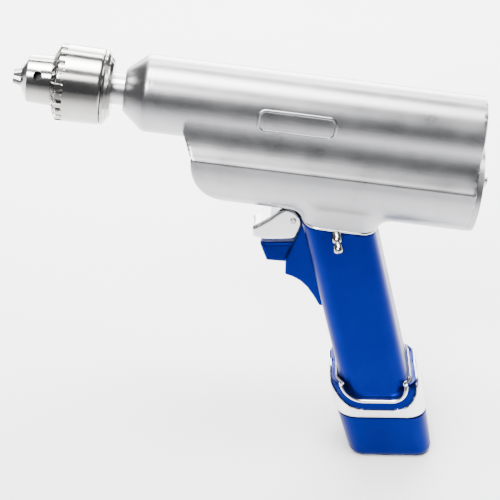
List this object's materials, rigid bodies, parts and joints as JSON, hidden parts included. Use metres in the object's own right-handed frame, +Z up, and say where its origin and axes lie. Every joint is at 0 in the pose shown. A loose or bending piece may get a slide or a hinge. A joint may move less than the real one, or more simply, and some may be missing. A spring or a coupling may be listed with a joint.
{
  "type": "cordless pistol drill",
  "caption": "Hand-held battery drill for bone surgery: two-lobed barrel with a through bore, keyed three-jaw chuck, sliding triggers, raked handle with collar and clip-in battery.",
  "frame": {"origin": "middle of the battery's flat foot, on which the handle stands", "axes": "+Z up, square to the foot; -X the way the chuck points, with the barrel tilted 7 degrees nose-up; -Y the flank with the raised badge frame and the selector"},
  "size_m": [0.2149, 0.0521, 0.2053],
  "materials": {
    "satin_aluminium": "fine satin, bead-blasted and clear anodised",
    "bright_steel": "polished",
    "steel": "turned",
    "hard_steel": "ground",
    "blue_anodised": "satin, deep blue",
    "blue_plastic": "satin, deep blue",
    "polished_aluminium": "polished",
    "black_plastic": "matte",
    "rubber": "soft",
    "green_board": "matte",
    "contact_brass": "plated",
    "cell_sleeve": "sleeved"
  },
  "bodies": {
    "drill": {"housing": "satin_aluminium", "nose_cap": "satin_aluminium", "badge_frame": "satin_aluminium", "front_bearing": "hard_steel", "rear_bearing": "hard_steel", "shaft_seal": "rubber", "rear_plate": "satin_aluminium", "guide_tube": "steel", "plate_screws": "steel", "motor_can": "steel", "gearbox_case": "hard_steel", "output_bearing": "hard_steel", "gear_bulkhead": "satin_aluminium", "grip_shell": "blue_anodised", "switch_module": "black_plastic", "controller_board": "green_board", "contact_block": "black_plastic", "handle_collar": "polished_aluminium", "trigger_spring": "hard_steel", "reverse_spring": "hard_steel"},
    "spindle": {"spindle": "steel", "spindle_gear": "hard_steel", "chuck_body": "bright_steel", "chuck_rear_ring": "bright_steel"},
    "chuck_sleeve": {"chuck_sleeve": "bright_steel", "chuck_nut": "hard_steel"},
    "jaw_1": {"chuck_jaw_1": "hard_steel"},
    "jaw_2": {"chuck_jaw_2": "hard_steel"},
    "jaw_3": {"chuck_jaw_3": "hard_steel"},
    "rotor": {"motor_shaft": "hard_steel"},
    "carrier": {"planet_carrier": "hard_steel", "output_gear": "hard_steel"},
    "planet_1": {"planet_1": "hard_steel"},
    "planet_2": {"planet_2": "hard_steel"},
    "planet_3": {"planet_3": "hard_steel"},
    "cap_seal": {"cap_seal": "rubber"},
    "rear_cap": {"rear_cap": "satin_aluminium"},
    "trigger": {"trigger": "bright_steel", "trigger_pin": "bright_steel"},
    "reverse_trigger": {"reverse_trigger": "blue_anodised"},
    "selector": {"selector_lever": "bright_steel"},
    "battery": {"battery_case": "blue_plastic", "battery_cells": "cell_sleeve", "battery_contacts": "contact_brass"}
  },
  "joints": [
    {"name": "spindle_spin", "type": "hinge", "parent": "drill", "child": "spindle", "pos_m": [-0.06485, 0, 0.17689], "axis": [-0.9925, 0, 0.1219], "continuous": true},
    {"name": "carrier_spin", "type": "hinge", "parent": "drill", "child": "carrier", "pos_m": [-0.04812, 0, 0.14904], "axis": [-0.9925, 0, 0.1219], "continuous": true},
    {"name": "rotor_spin", "type": "hinge", "parent": "drill", "child": "rotor", "pos_m": [-0.00842, 0, 0.14417], "axis": [-0.9925, 0, 0.1219], "continuous": true},
    {"name": "sleeve_turn", "type": "hinge", "parent": "spindle", "child": "chuck_sleeve", "pos_m": [-0.14426, 0, 0.18664], "axis": [-0.9925, 0, 0.1219], "range_deg": [0, 2880]},
    {"name": "cap_turn", "type": "hinge", "parent": "cap_seal", "child": "rear_cap", "pos_m": [0.03128, 0, 0.13929], "axis": [0.9925, 0, -0.1219], "range_deg": [0, 1080]},
    {"name": "cap_travel", "type": "slide", "parent": "drill", "child": "cap_seal", "axis": [0.9925, 0, -0.1219], "range_m": [0, 0.00451]},
    {"name": "trigger_pull", "type": "slide", "parent": "drill", "child": "trigger", "axis": [0.9925, 0, -0.1219], "range_m": [0, 0.006], "stiffness_N_per_m": 600, "springref_m": -0.005, "deforming": ["trigger_spring"]},
    {"name": "reverse_pull", "type": "slide", "parent": "drill", "child": "reverse_trigger", "axis": [0.9925, 0, -0.1219], "range_m": [0, 0.004], "stiffness_N_per_m": 600, "springref_m": -0.005, "deforming": ["reverse_spring"]},
    {"name": "selector_turn", "type": "hinge", "parent": "drill", "child": "selector", "pos_m": [-0.0299, -0.0195, 0.1214], "axis": [0, -1, 0], "range_deg": [-40, 40]},
    {"name": "battery_slide", "type": "slide", "parent": "drill", "child": "battery", "axis": [0.2284, 0, -0.9736], "range_m": [0, 0.045]},
    {"name": "planet_1_spin", "type": "hinge", "parent": "carrier", "child": "planet_1", "pos_m": [-0.02827, -0.00945, 0.1466], "axis": [-0.9925, 0, 0.1219], "continuous": true},
    {"name": "jaw_1_travel", "type": "slide", "parent": "spindle", "child": "jaw_1", "axis": [0.9903, 0, 0.1392], "range_m": [0, 0.01201]},
    {"name": "planet_2_spin", "type": "hinge", "parent": "carrier", "child": "planet_2", "pos_m": [-0.02728, 0.00473, 0.15473], "axis": [-0.9925, 0, 0.1219], "continuous": true},
    {"name": "jaw_2_travel", "type": "slide", "parent": "spindle", "child": "jaw_2", "axis": [0.943, -0.2241, -0.2462], "range_m": [0, 0.01201]},
    {"name": "planet_3_spin", "type": "hinge", "parent": "carrier", "child": "planet_3", "pos_m": [-0.02927, 0.00473, 0.13848], "axis": [-0.9925, 0, 0.1219], "continuous": true},
    {"name": "jaw_3_travel", "type": "slide", "parent": "spindle", "child": "jaw_3", "axis": [0.943, 0.2241, -0.2462], "range_m": [0, 0.01201]}
  ],
  "couplings": [
    {"joint": "carrier_spin", "follows": "spindle_spin", "ratio": -1.1333},
    {"joint": "rotor_spin", "follows": "spindle_spin", "ratio": -5.1},
    {"joint": "cap_travel", "follows": "cap_turn", "m_per_rad": 0.00023873},
    {"joint": "planet_1_spin", "follows": "spindle_spin", "ratio": 3.1733},
    {"joint": "jaw_1_travel", "follows": "sleeve_turn", "m_per_rad": 0.00023873},
    {"joint": "planet_2_spin", "follows": "spindle_spin", "ratio": 3.1733},
    {"joint": "jaw_2_travel", "follows": "sleeve_turn", "m_per_rad": 0.00023873},
    {"joint": "planet_3_spin", "follows": "spindle_spin", "ratio": 3.1733},
    {"joint": "jaw_3_travel", "follows": "sleeve_turn", "m_per_rad": 0.00023873}
  ]
}
